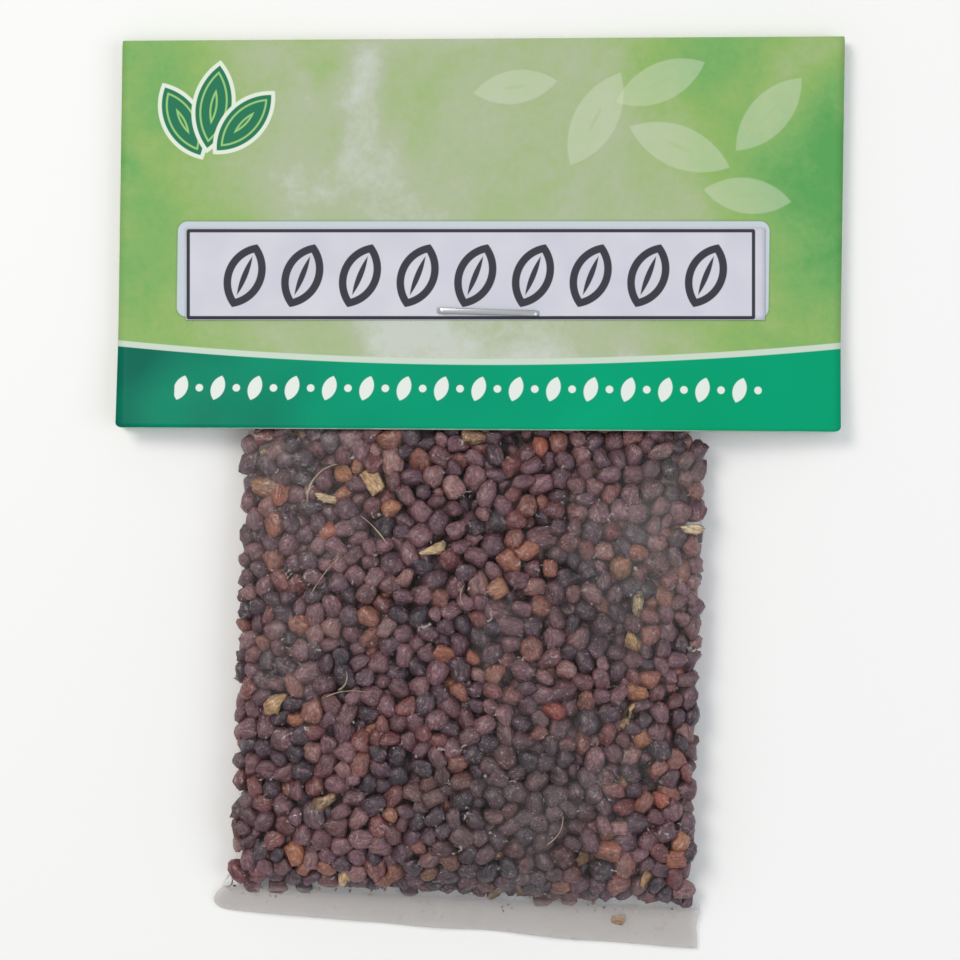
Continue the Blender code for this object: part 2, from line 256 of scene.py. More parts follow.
def bagHalfWidth(y):
    neck = ease((y - bag["cardY"]) / bag["neckFlareRun"])
    hem = ease((bag["endY"] + bag["hemFlareRun"] - y) / bag["hemFlareRun"])
    return bag["halfWidth"] + bag["neckFlare"] * neck + bag["hemFlare"] * hem


def bagPlace(across, y, z):
    # a place by its share of the half width, its length coordinate and its height
    x = bag["middleX"] + bag["lean"] * (y - bag["cardY"]) + across * bagHalfWidth(y)
    return Vector((x, y - across * bag["slant"] * max(0.0, -y), z))


def bagTop(across, y):
    low, high = bagLow(y), bagHigh(y)
    edge = low + bag["edgeShare"] * (high - low)
    return edge + (high - edge) * math.sqrt(max(0.0, 1.0 - abs(across) ** bag["shoulder"]))


def bagPoint(turn, y):
    # a point of the bag's section at y; turn runs from 0 to 1 round it
    across = math.cos(math.tau * turn)
    front = math.sin(math.tau * turn) >= 0.0
    if y < bag["endY"]:
        return hemPoint(across, front, bag["endY"] - y)
    if front:
        return bagPlace(across, y, bagTop(across, y))
    low, high = bagLow(y), bagHigh(y)
    over = max(0.0, abs(across) - bag["flatShare"]) / (1.0 - bag["flatShare"])
    z = low + bag["edgeShare"] * (high - low) * (1.0 - math.sqrt(max(0.0, 1.0 - over * over)))
    return bagPlace(across, y, z)


def hemPoint(across, front, down):
    # the welded strip below the seeds, a little askew and waved, wider towards its cut edge
    share = min(1.0, down / bag["hemLength"])
    place = bagPlace(across, bag["endY"], bag["hemLowZ"] + bag["hemMouth"] / 2)
    shift = bag["hemShift"] * ease(down / bag["hemShiftRun"])
    place.x += across * bag["hemSpread"] * ease(share) - shift
    corner = bag["hemCorner"] * (0.6 - 0.4 * across)  # sharper at the right end
    place.x -= across ** 25 * corner * share ** 6
    place.x -= bag["lean"] * down
    place.y -= down + across * bag["hemSlant"] * share - abs(across) ** 30 * corner * share
    place.y += bag["hemWave"] * noise.noise(Vector((3.0 * across, share, 4.0))) * share
    pinch = 1.0 - ease(down / bag["hemPinchRun"])
    thick = bag["hemSheet"] + (bag["hemMouth"] - bag["hemSheet"]) * pinch
    lens = math.sqrt(max(0.0, 1.0 - across ** 8))
    place.z += (0.5 if front else -0.5) * thick * lens
    place.z -= bag["hemDrop"] * ease(share)
    wave = noise.noise(Vector((4.0 * across, 0.6 * share, 9.0)))
    place.z += 1.2 * bag["hemWave"] * wave * ease(share)
    return place


# Header card

card = {
    "width": 89.6 * mm, "lowY": 7.9 * mm, "foldY": 56.6 * mm, "sheet": 0.35 * mm,
    "backZ": 0.75 * mm, "frontZ": 2.55 * mm,  # outer faces of the two leaves
    "lean": 0.7 * mm, "taper": 1.1 * mm, "corner": 0.8 * mm,
    "lift": 3.9 * mm, "liftFromY": 21.2 * mm, "liftCurve": 1.3, "liftReach": 38.0 * mm,
    "columns": 72, "rows": 168,
    "wave": 0.10 * mm, "waveLength": 26.0 * mm, "waveFade": 6.0 * mm,
}
foldRadius = (card["frontZ"] - card["backZ"]) / 2
leafLength = card["foldY"] - foldRadius - card["lowY"]
sheetLength = 2 * leafLength + math.pi * foldRadius


def cardPoint(x, along):
    # a place on the sheet's outer face, by the way along the sheet from the front's lower edge
    if along <= leafLength:
        y, z = card["lowY"] + along, card["frontZ"] + leafLift(x, card["lowY"] + along)
        z += staplePinch(x, y)
    elif along <= leafLength + math.pi * foldRadius:
        angle = (along - leafLength) / foldRadius
        y = card["lowY"] + leafLength + foldRadius * math.sin(angle)
        z = card["backZ"] + foldRadius * (1 + math.cos(angle))
    else:
        y, z = card["lowY"] + sheetLength - along, card["backZ"]
    up = (y - (card["foldY"] + card["lowY"]) / 2) / (card["foldY"] - card["lowY"])
    if along <= leafLength:
        wave = noise.noise(Vector((x, y, 0.0)) / card["waveLength"]) - 0.5
        z += card["wave"] * wave * ease((leafLength - along) / card["waveFade"])
    return Vector((x + card["lean"] * up, y + card["taper"] * up * x / card["width"], z))


def makeCard():
    bm = flatGrid(card["columns"], card["rows"], uvs=True)
    corners = [v for v in bm.verts if len(v.link_edges) == 2]
    for v in bm.verts:
        v.co = (v.co.x * card["width"] / 2, (v.co.y + 1.0) / 2 * sheetLength, 0.0)
    roundCorners(bm, corners, card["corner"])
    for v in bm.verts:
        v.co = cardPoint(v.co.x, v.co.y)
    bmesh.ops.recalc_face_normals(bm, faces=bm.faces)
    if max(bm.faces, key=lambda f: f.calc_center_median().z).normal.z < 0.0:
        bmesh.ops.reverse_faces(bm, faces=bm.faces)
    piece = makePiece("headerCard", bm, [printedCard(), cardInside(), cardCutEdge()])
    wall = thicken(piece, card["sheet"])
    wall.material_offset = 1
    wall.material_offset_rim = 2
    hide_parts("header_card")


def podDepth(add, place, spot, angle, length, width):
    # how far inside a pod's outline a place lies: a pod is where two round arcs meet in two tips
    turned = add("Mapping", {
        "Vector": place, "Location": (*spot, 0.0),
        "Rotation": (0.0, 0.0, math.radians(angle))}, vector_type="TEXTURE")[0]
    radius = (length ** 2 + width ** 2) / (4 * width)
    off = radius - width / 2
    left = add("VectorMath DISTANCE", [turned, (0.0, -off, 0.0)])["Value"]
    right = add("VectorMath DISTANCE", [turned, (0.0, off, 0.0)])["Value"]
    outer = add("Math MAXIMUM", [left, right])[0]
    return add("Math SUBTRACT", [radius, outer])[0]


def flatPlace(add, width, height):
    # the sheet's own place in millimetres: from its middle line, and up from its lower edge
    uv = add("UVMap", uv_map="sheetPlace")[0]
    return add("Mapping", {
        "Vector": uv, "Location": (-width / mm / 2, 0.0, 0.0),
        "Scale": (width / mm, height / mm, 0.0)})[0]


def boxDepth(add, place, middle, size, corner):
    # how far outside a rounded rectangle a place lies, below nought inside it
    away = add("VectorMath SUBTRACT", [place, (*middle, 0.0)])[0]
    away = add("VectorMath ABSOLUTE", [away])[0]
    half = (size[0] / 2 - corner, size[1] / 2 - corner, 0.0)
    away = add("VectorMath SUBTRACT", [away, half])[0]
    beyond = add("VectorMath MAXIMUM", [away, (0.0, 0.0, 0.0)])[0]
    far = add("VectorMath LENGTH", [beyond])["Value"]
    return add("Math SUBTRACT", [far, corner])[0]


def nearness(add, place, spot, far, near, most):
    # nought far from a spot, and the most near it
    away = add("VectorMath DISTANCE", [place, spot])["Value"]
    return add("MapRange", {
        "Value": away, "From Min": far, "From Max": near, "To Max": most}, **smooth)[0]


def keepInRow(add, mark, place, ends, high, tall):
    # a mark's depth, cut off outside a row
    outside = boxDepth(add, place, (sum(ends) / 2, high), (ends[1] - ends[0], tall), 0.1)
    inside = add("Math MULTIPLY", [outside, -1.0])[0]
    return add("Math MINIMUM", [mark, inside])[0]


def repeatAlong(add, place, pitch):
    # the same stretch of the sheet over and over from side to side, its own middle at nought
    return add("VectorMath WRAP", [place, (pitch / 2, 1000.0, 1.0), (-pitch / 2, -1000.0, -1.0)])[0]


inkEdge = 0.06  # half the blur of a printed edge, in mm


def paint(add, under, colour, amount, fromLow=-inkEdge, fromHigh=inkEdge, strength=1.0):
    # one colour over another where an amount passes from one value to another
    share = add("MapRange", {
        "Value": amount, "From Min": fromLow, "From Max": fromHigh, "To Max": strength}, **smooth)[0]
    over = colour if isinstance(colour, bpy.types.NodeSocket) else linear(colour)
    return add("Mix", {0: share, 6: under, 7: over}, data_type="RGBA")[2]


cardPrint = {
    "washScale": 1 / 21.0,  # one cloud of the wash is about 21 mm
    "mottleScale": 1 / 3.4, "grainScale": 1.1,
    "wash": ((0.22, "#C9CFC4"), (0.36, "#B3BFA0"), (0.50, "#A7BC88"), (0.64, "#94B86B"),
             (0.78, "#7CB167"), (0.92, "#5FA65C")),
    # spot and reach of where the wash pools, and how much deeper it is there
    "pools": (((41.0, 20.5, 0.0), 17.0, 0.15), ((-42.0, 46.0, 0.0), 17.0, 0.13),
              ((40.0, 46.0, 0.0), 14.0, -0.15)),
    "bandHigh": 8.0, "bandArc": 2.2 / 44.8 ** 2,
    "band": ((0.0, "#006A56"), (0.30, "#009470"), (0.60, "#00A578"), (1.0, "#009C6A")),
    "line": 0.75, "lineColour": "#CDDCCD",
    "fieldMiddle": (-0.9, 19.9), "fieldSize": (73.4, 11.9), "fieldCorner": 1.2,
    "fieldColour": "#CBD4DC", "fieldShade": "#6F9468",
    "ghost": "#D3DEC4", "ghostVein": "#A9C48C",
    # spot, angle, length, width of the pale pods
    "ghostPods": (((14.0, 38.5), 62.0, 13.0, 5.4), ((22.0, 43.0), 24.0, 12.0, 4.8),
                  ((24.5, 35.0), -22.0, 13.5, 5.2), ((35.5, 39.0), 48.0, 12.0, 5.0),
                  ((4.0, 42.5), 8.0, 10.5, 4.2), ((33.0, 29.0), -8.0, 11.0, 4.4)),
    "sprigPods": (((-37.2, 38.4), 118.0, 9.6, 4.2), ((-33.4, 40.2), 82.0, 10.4, 4.4),
                  ((-29.6, 38.2), 46.0, 9.6, 4.2)),
    "sprigColour": "#2C7A5A", "sprigEdge": "#E4EEDD", "sprigRib": "#9CCB7C",
    # the row of pods and dots: the pods' length, width and angle, the dots' radius
    "rowHigh": 5.0, "rowTall": 4.0, "rowPitch": 4.6, "rowEnds": (-37.6, 35.0),
    "rowPod": (3.2, 1.7), "rowLean": 72.0, "rowDot": 0.48, "rowColour": "#E6EEE8",
}


def printedCard():
    # Coated card, offset printed: a cloudy green wash, a dark band and pale marks under a thin
    # satin coat. It gives the eye even colour with a soft broad sheen.
    p = cardPrint
    material, add = newMaterial("coatedCardOffsetPrint")
    place = flatPlace(add, card["width"], sheetLength)
    parts = add("SeparateXYZ", [place])
    cloud = add("TexNoise", {
        "Vector": place, "Scale": p["washScale"], "Detail": 3.0, "Roughness": 0.45,
        "Distortion": 0.7})["Fac"]
    mottle = add("TexNoise", {
        "Vector": place, "Scale": p["mottleScale"], "Detail": 4.0, "Distortion": 1.2})["Fac"]
    # deeper towards both ends from 7 mm left of the middle, and paler low down
    aside = add("Math ADD", [parts[0], 7.0])[0]
    aside = add("Math ABSOLUTE", [aside])[0]
    ends = add("MapRange", {
        "Value": aside, "From Min": 4.0, "From Max": 50.0, "To Min": -0.17, "To Max": 0.27})[0]
    low = add("MapRange", {
        "Value": parts[1], "From Min": 12.0, "From Max": 34.0, "To Min": -0.09, "To Max": 0.03})[0]
    grain = add("TexNoise", {
        "Vector": place, "Scale": p["grainScale"], "Detail": 3.0, "Roughness": 0.7})["Fac"]
    pools = [nearness(add, place, spot, reach, 0.0, depth) for spot, reach, depth in p["pools"]]
    tone = add("Math SUBTRACT", [cloud, 0.14])[0]
    for layer in (ends, low, *pools):
        tone = add("Math ADD", [tone, layer])[0]
    for layer in (mottle, grain):
        tone = add("Math MULTIPLY_ADD", [layer, 0.16, tone])[0]
    colour = add("ValToRGB", [tone], stops=p["wash"])[0]
    for spot, angle, length, width in p["ghostPods"]:
        depth = podDepth(add, place, spot, angle, length, width)
        colour = paint(add, colour, p["ghost"], depth, -0.1, 0.15, 0.38)
        vein = add("Math SUBTRACT", [width / 2, depth])[0]
        colour = paint(add, colour, p["ghostVein"], vein, 0.34, 0.16, 0.5)
    for spot, angle, length, width in p["sprigPods"]:
        depth = podDepth(add, place, spot, angle, length, width)
        colour = paint(add, colour, p["sprigEdge"], depth, -0.55, -0.42)
        colour = paint(add, colour, p["sprigColour"], depth)
        rib = add("Math PINGPONG", [depth, 0.62])[0]
        rim = add("Math LESS_THAN", [depth, 0.45])[0]
        rib = add("Math SUBTRACT", [rib, rim])[0]
        colour = paint(add, colour, p["sprigRib"], rib, 0.44, 0.56)
    fieldDepth = boxDepth(add, place, p["fieldMiddle"], p["fieldSize"], p["fieldCorner"])
    colour = paint(add, colour, p["fieldShade"], fieldDepth, 0.32, 0.0, 0.55)
    colour = paint(add, colour, p["fieldColour"], fieldDepth, inkEdge, -inkEdge)
    colour = printBand(add, place, parts, colour)
    fibre = add("TexNoise", {"Vector": place, "Scale": 3.0, "Detail": 5.0})["Fac"]
    bump = add("Bump", {"Height": fibre, "Strength": 0.35, "Distance": 0.02 * mm})[0]
    rough = add("MapRange", {"Value": mottle, "To Min": 0.36, "To Max": 0.50})[0]
    finishMaterial(add, {
        "Base Color": colour, "Roughness": rough, "IOR": 1.5, "Specular IOR Level": 0.08,
        "Normal": bump})
    return material


def printBand(add, place, parts, colour):
    # the dark band along the lower edge, its pale line and its row of white pods
    p = cardPrint
    square = add("Math MULTIPLY", [parts[0], parts[0]])[0]
    edge = add("Math MULTIPLY_ADD", [square, p["bandArc"], p["bandHigh"]])[0]
    under = add("Math SUBTRACT", [edge, parts[1]])[0]
    cloud = add("TexNoise", {"Vector": place, "Scale": 1 / 16.0, "Detail": 1.0})["Fac"]
    slide = add("MapRange", {
        "Value": parts[0], "From Min": -45.0, "From Max": 30.0, "To Min": -0.3, "To Max": 0.5})[0]
    tone = add("Math MULTIPLY_ADD", [cloud, 0.6, slide])[0]
    green = add("ValToRGB", [tone], stops=p["band"])[0]
    line = -p["line"]
    colour = paint(add, colour, p["lineColour"], under, line - inkEdge, line + inkEdge)
    colour = paint(add, colour, green, under)
    pitch = p["rowPitch"]
    wrapped = repeatAlong(add, place, pitch)
    pod = podDepth(add, wrapped, (0.0, p["rowHigh"]), p["rowLean"], *p["rowPod"])
    seed = add("VectorMath ABSOLUTE", [wrapped])[0]
    seed = add("VectorMath DISTANCE", [seed, (pitch / 2, p["rowHigh"], 0.0)])["Value"]
    seed = add("Math SUBTRACT", [p["rowDot"], seed])[0]
    mark = add("Math MAXIMUM", [pod, seed])[0]
    mark = keepInRow(add, mark, place, p["rowEnds"], p["rowHigh"], p["rowTall"])
    return paint(add, colour, p["rowColour"], mark, -0.05, 0.07)


def fibrousFinish(name, scale, detail, tones, roughness, rise=0.0):
    # two tones mixed by a fibrous noise, which also stands proud where a rise is given
    material, add = newMaterial(name)
    place = add("TexCoord")["Object"]
    fibre = add("TexNoise", {"Vector": place, "Scale": scale, "Detail": detail})["Fac"]
    inputs = {"Base Color": add("ValToRGB", [fibre], stops=tones)[0], "Roughness": roughness}
    if rise:
        inputs["Normal"] = add("Bump", {"Height": fibre, "Strength": 0.4, "Distance": rise})[0]
    finishMaterial(add, inputs)
    return material


def cardInside():
    # The same card's uncoated side: white, matt, a little fibrous.
    tones = ((0.3, "#D4D6D0"), (0.7, "#E2E3DE"))
    return fibrousFinish("uncoatedCardInside", 2500.0, 4.0, tones, 0.8, 0.03 * mm)


def cardCutEdge():
    # The guillotined edge: the board's pale core, with green dragged over it.
    tones = ((0.35, "#A9C8AC"), (0.7, "#DDE6DC"))
    return fibrousFinish("guillotinedCardEdge", 700.0, 3.0, tones, 0.75)


# Name label

label = {
    "left": -36.6 * mm, "right": 35.2 * mm, "lowY": 21.5 * mm, "highY": 32.9 * mm,
    "sheet": 0.12 * mm, "clear": 0.02 * mm, "columns": 96, "rows": 16,
    "endCurl": 0.10 * mm, "ink": "#2F2F3B", "paper": ((0.3, "#CDCDDA"), (0.7, "#D9D9E4")),
    "frameMiddle": (-0.55, 5.68), "frameSize": (70.5, 11.2), "frameLine": 0.42,
    "podPitch": 7.15, "podSize": (8.4, 4.9), "podLean": 68.0, "podHigh": 5.5, "stroke": 0.95,
    "podEnds": (-32.1, 32.1), "ribShare": 0.62, "ribWidth": 0.7,
}


def labelPoint(share, up):
    x = label["left"] + (label["right"] - label["left"]) * share
    y = label["lowY"] + (label["highY"] - label["lowY"]) * up
    z = cardFrontZ(x, y) + label["clear"] + label["sheet"]
    curl = abs(2 * share - 1) ** 12 + 0.5 * abs(2 * up - 1) ** 6
    return Vector((x, y, z + label["endCurl"] * curl * (0.6 + 0.4 * math.sin(9.0 * share))))


def cardFrontZ(x, y):
    # height of the card's printed front at a place
    return cardPoint(x, y - card["lowY"]).z


def makeLabel():
    bm = flatGrid(label["columns"], label["rows"], uvs=True)
    for v in bm.verts:
        v.co = labelPoint((v.co.x + 1) / 2, (v.co.y + 1) / 2)
    piece = makePiece("nameLabel", bm, [labelPaper()])
    thicken(piece, label["sheet"])
    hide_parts("name_label")


def labelPaper():
    # Office paper, laser printed and cut by hand: bluish white, matt, its toner nearly black.
    width, height = label["right"] - label["left"], label["highY"] - label["lowY"]
    material, add = newMaterial("laserPrintedPaper")
    place = flatPlace(add, width, height)
    fibre = add("TexNoise", {"Vector": place, "Scale": 2.2, "Detail": 6.0})["Fac"]
    cloud = add("TexNoise", {"Vector": place, "Scale": 0.12})["Fac"]
    paper = add("ValToRGB", [cloud], stops=label["paper"])[0]
    frameDepth = boxDepth(add, place, label["frameMiddle"], label["frameSize"], 0.3)
    colour = paint(add, paper, label["ink"], frameDepth, 0.05, -0.05)
    inner = [side - 2 * label["frameLine"] for side in label["frameSize"]]
    frameDepth = boxDepth(add, place, label["frameMiddle"], inner, 0.1)
    colour = paint(add, colour, paper, frameDepth, 0.05, -0.05)
    wrapped = repeatAlong(add, place, label["podPitch"])
    spot = (0.0, label["podHigh"])
    length, wide = label["podSize"]
    outline = podDepth(add, wrapped, spot, label["podLean"], length, wide)
    outline = add("Math SUBTRACT", [outline, label["stroke"] / 2])[0]
    outline = add("Math ABSOLUTE", [outline])[0]
    outline = add("Math SUBTRACT", [label["stroke"] / 2, outline])[0]
    length *= label["ribShare"]
    rib = podDepth(add, wrapped, spot, label["podLean"], length, label["ribWidth"])
    mark = add("Math MAXIMUM", [outline, rib])[0]
    mark = keepInRow(add, mark, place, label["podEnds"], label["podHigh"], height / mm - 0.4)
    colour = paint(add, colour, label["ink"], mark)
    bump = add("Bump", {"Height": fibre, "Strength": 0.5, "Distance": 0.03 * mm})[0]
    finishMaterial(add, {"Base Color": colour, "Roughness": 0.72, "Normal": bump})
    return material


# Staple

staple = {
    "middle": (0.9 * mm, 22.5 * mm), "tilt": math.radians(-1.7), "crown": 12.8 * mm,
    "wide": 0.72 * mm, "thick": 0.46 * mm, "bend": 0.55 * mm, "tip": 4.3 * mm,
    "legZ": 0.25 * mm, "pinch": 0.16 * mm, "pinchReach": 1.5 * mm, "colour": "#C9CACC",
    "edge": 0.15 * mm, "gap": 0.03 * mm,  # the wire's rounding, its crown's rise
}


def staplePinch(x, y):
    # the paper dips where the two legs go in
    dip = 0.0
    for side in (-1, 1):
        along = side * (staple["crown"] / 2 - staple["wide"] / 2)
        foot = Vector(staple["middle"]) + along * Vector((1.0, math.tan(staple["tilt"])))
        dip += math.exp(-((Vector((x, y)) - foot).length / staple["pinchReach"]) ** 2)
    return -staple["pinch"] * dip


def makeStaple():
    # a flattened wire, drawn out of its left tip's end face: straight runs and four quarter turns
    half = staple["crown"] / 2 - staple["thick"] / 2
    crownZ = stapleCrownZ()
    bend = staple["bend"]
    bm = flatGrid(1, 1, 0.5)
    bmesh.ops.scale(bm, verts=bm.verts, vec=(staple["wide"], staple["thick"], 1.0))
    roundCorners(bm, bm.verts[:], staple["edge"])
    for axis in "ZY":
        bmesh.ops.rotate(bm, verts=bm.verts, matrix=Matrix.Rotation(math.pi / 2, 3, axis))
    bmesh.ops.translate(bm, verts=bm.verts, vec=(-half + staple["tip"], 0, staple["legZ"]))
    low, high, inner = staple["legZ"] + bend, crownZ - bend, half - bend
    tip = next(iter(bm.faces))
    # the end of each straight run, and the centre of the bend after it
    for x, z, centreX, centreZ in ((-inner, staple["legZ"], -inner, low), (-half, high, -inner, high),
                                   (inner, crownZ, inner, high), (half, low, inner, low)):
        tip = drawOut(bm, tip, (x, 0, z))
        tip = turnWire(bm, tip, (centreX, 0, centreZ))
    drawOut(bm, tip, (half - staple["tip"], 0, staple["legZ"]))
    bmesh.ops.recalc_face_normals(bm, faces=bm.faces)
    bmesh.ops.rotate(bm, verts=bm.verts, matrix=Matrix.Rotation(staple["tilt"], 3, "Z"))
    bmesh.ops.translate(bm, verts=bm.verts, vec=(*staple["middle"], 0))
    piece = makePiece("stapleWire", bm, [galvanisedWire()])
    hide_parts("staple")


def stapleCrownZ():
    top = labelPoint(0.5, (staple["middle"][1] - label["lowY"]) / (label["highY"] - label["lowY"])).z
    return top + staple["thick"] / 2 + staple["gap"]


def drawOut(bm, face, to):
    # extrude the wire's end face to a place; the first one stays behind as the other end
    first = any(edge.is_boundary for edge in face.edges)
    grown = bmesh.ops.extrude_face_region(bm, geom=[face])["geom"]
    end = next(part for part in grown if isinstance(part, bmesh.types.BMFace))
    bmesh.ops.translate(bm, verts=end.verts, vec=Vector(to) - end.calc_center_median())
    if not first:
        bmesh.ops.delete(bm, geom=[face], context="FACES_ONLY")
    return end


def turnWire(bm, face, centre):
    # four small steps of a quarter turn round a bend's centre
    for _ in range(4):
        end = drawOut(bm, face, face.calc_center_median())
        step = Matrix.Rotation(math.pi / 8, 3, "Y")
        bmesh.ops.rotate(bm, verts=end.verts, cent=centre, matrix=step)
        face = end
    return face


def galvanisedWire():
    # Galvanised steel wire, drawn and flattened: bright, with fine lines along it.
    material, add = newMaterial("galvanisedStapleWire")
    place = add("TexCoord")["Object"]
    place = add("Mapping", {"Vector": place, "Scale": (120.0, 6000.0, 6000.0)})[0]
    draw = add("TexNoise", {"Vector": place, "Scale": 1.0})["Fac"]
    rough = add("MapRange", {"Value": draw, "To Min": 0.22, "To Max": 0.42})[0]
    bump = add("Bump", {"Height": draw, "Strength": 0.4, "Distance": 0.01 * mm})[0]
    finishMaterial(add, {
        "Base Color": linear(staple["colour"]), "Metallic": 1.0, "Roughness": rough, "Normal": bump})
    return material


# Seeds

heap = {
    "count": 2280, "topY": 9.4 * mm, "endY": -50.0 * mm,
    "length": (2.0 * mm, 3.8 * mm, 2.85 * mm),  # shortest, longest, commonest
    "width": (0.66, 0.94), "thick": (0.66, 0.90),  # shares of the length
    "startAcross": 0.96, "steps": 90, "push": 0.45, "shapes": 18,
    "lieFlat": 1.5, "faceOut": 0.7, "lean": 0.38,  # seeds beside the film
    "spread": 0.94, "wallRoom": 0.93, "clear": 0.13 * mm,
    "wallOver": 12.0 * mm, "wallColumns": 72, "wallRows": 60,
    "scraps": 0.04,  # of the places beside the film
    # a painted dark reflection of the film lies over the seeds: the middle of its darkest patch, and
    # its colour
    "paintedDarkSpot": (0 * mm, -41 * mm, 6 * mm),  # middle of the darkest patch
    "paintedDarkReflectionColour": "#25232B", "speckColour": "#B99E92",
    "uneven": 1.3 * mm,  # how far the heap's lower edge wanders
    "crumbs": 34, "crumb": (0.2 * mm, 0.55 * mm),
    "crumbDown": (-0.5 * mm, 2.6 * mm, 0.1 * mm),  # lowest, highest, commonest way down the hem
    "crumbAcross": (-0.8, -0.1, 0.5), "crumbScatter": 0.22,
    "shares": {"darkSeeds": 10, "dustySeeds": 6, "brownSeeds": 4},
    # flat seeds and a scrap that stick out of the heap into the hem: place across it by share,
    # and in millimetres the place down it and the length, width and thickness; kind, tone
    "strays": (
        (0.34, -0.3, (2.5, 2.3, 0.7), "brownSeeds", 0.7),
        (0.45, -0.5, (2.0, 2.1, 0.7), "dustySeeds", 0.9),
        (-0.22, -0.5, (2.2, 1.9, 0.7), "darkSeeds", 0.4),
        (-0.66, -0.3, (2.1, 2.0, 0.7), "darkSeeds", 0.2),
        (-0.77, -0.1, (2.5, 2.0, 0.65), "darkSeeds", 0.8),
        (-0.88, -0.2, (2.2, 2.2, 0.6), "dustySeeds", 0.3),
        (0.675, 1.7, (1.9, 1.4, 0.12), "huskScraps", 0.3),
    ),
}


def bagWall():
    # the film as the frame has it, one closed skin, to keep the seeds inside
    start = bag["cardY"] + heap["wallOver"]
    bm = flatGrid(heap["wallColumns"], heap["wallRows"])
    for v in bm.verts:
        turn = (v.co.x + 1) / 2
        across = math.cos(math.tau * turn)
        rise = max(0.0, 0.4 + noise.noise(Vector((3.5 * across, 1.0, 2.0))))
        end = bag["endY"] + heap["uneven"] * rise
        v.co = bagPoint(turn, start + (end - start) * (v.co.y + 1) / 2)
    closeSkin(bm)
    wall = BVHTree.FromBMesh(bm)
    bm.free()
    return wall


def settleSeeds(draw):
    # round stand-ins pushed apart until they fill the bag; returns each seed's size, place and wall
    wall = bagWall()
    sizes = []
    for _ in range(heap["count"]):
        length = draw.triangular(*heap["length"])
        width = length * draw.uniform(*heap["width"])
        sizes.append((length, width, length * draw.uniform(*heap["thick"])))
    radius = np.array([0.5 * (a * b * c) ** (1 / 3) for a, b, c in sizes])
    places = []
    while len(places) < heap["count"]:
        across = draw.uniform(-heap["startAcross"], heap["startAcross"])
        y = draw.uniform(heap["endY"], heap["topY"])
        z = draw.uniform(0.0, bag["crown"])
        if bagLow(y) < z < bagTop(across, y):
            places.append(bagPlace(across, y, z))
    places = np.array(places)
    reach = (radius[:, None] + radius) * heap["spread"]
    for _ in range(heap["steps"]):
        square = (places * places).sum(1)
        apart = np.sqrt(np.maximum(square[:, None] + square - 2 * places @ places.T, 1e-12))
        push = np.maximum(reach - apart, 0.0) / apart
        np.fill_diagonal(push, 0.0)
        places += heap["push"] * (push.sum(1)[:, None] * places - push @ places)
        for i, r in enumerate(radius):
            spot, normal, _, _ = wall.find_nearest(Vector(places[i]))
            outside = (Vector(places[i]) - spot).dot(normal) + heap["wallRoom"] * r
            if outside > 0.0:
                places[i] -= np.array(normal) * outside
        places[:, 1] = np.minimum(places[:, 1], heap["topY"])
    walls = [wall.find_nearest(Vector(p)) for p in places]
    return sizes, places, walls


def cutCube():
    # a cube cut in nine on each side, to be rounded; its half size is 1
    bm = bmesh.new()
    bmesh.ops.create_cube(bm, size=2.0)
    bmesh.ops.subdivide_edges(bm, edges=bm.edges[:], cuts=2, use_grid_fill=True)
    return bm


seedForm = {
    "power": (2.1, 3.0),  # 2 is a ball, more is squarer
    "lump": 0.32, "lumpScale": 1.6,
    "presses": 5, "pressDepth": (0.68, 0.88), "pressed": 0.75,  # flats from its neighbours
    "taper": 0.30, "skew": 0.20, "cleft": (0.30, 0.48), "cleftWidth": 0.40,
}


def makeSeedShape(draw, cleft):
    # one seed, rounded, lumpy and flattened where its neighbours pressed it
    bm = cutCube()
    front = [v for v in bm.verts if v.co.z > 0.99 and abs(v.co.y) < 0.5]
    power = draw.uniform(*seedForm["power"])
    lumps = Vector([draw.uniform(0.0, 50.0) for _ in range(3)])
    for v in bm.verts:
        v.co /= sum(abs(c) ** power for c in v.co) ** (1 / power)
        v.co *= 1.0 + seedForm["lump"] * noise.noise(v.co * seedForm["lumpScale"] + lumps)
    for _ in range(seedForm["presses"]):
        side = Vector((draw.uniform(-0.8, 0.8), draw.uniform(-1, 1), draw.uniform(-1, 1))).normalized()
        depth = draw.uniform(*seedForm["pressDepth"])
        for v in bm.verts:
            v.co -= side * seedForm["pressed"] * max(0.0, v.co.dot(side) - depth)
    taper = draw.uniform(-seedForm["taper"], seedForm["taper"])
    skew = draw.uniform(-seedForm["skew"], seedForm["skew"])
    for v in bm.verts:
        v.co.y *= 1.0 - taper * v.co.x
        v.co.z *= 1.0 - 0.6 * taper * v.co.x
        v.co.y += skew * v.co.x * v.co.x
    if cleft:
        deep = draw.uniform(*seedForm["cleft"])
        for v in front:
            v.co.y *= seedForm["cleftWidth"]
            v.co.z -= deep * (1.0 - 0.4 * v.co.x * v.co.x)
    return toMesh(bm, "seedShape")


scrapForm = {
    "narrow": (0.4, 0.9), "curl": (0.3, 0.8), "taper": 0.6,
    "torn": 0.55, "thick": 0.20, "buckle": 0.45,
}


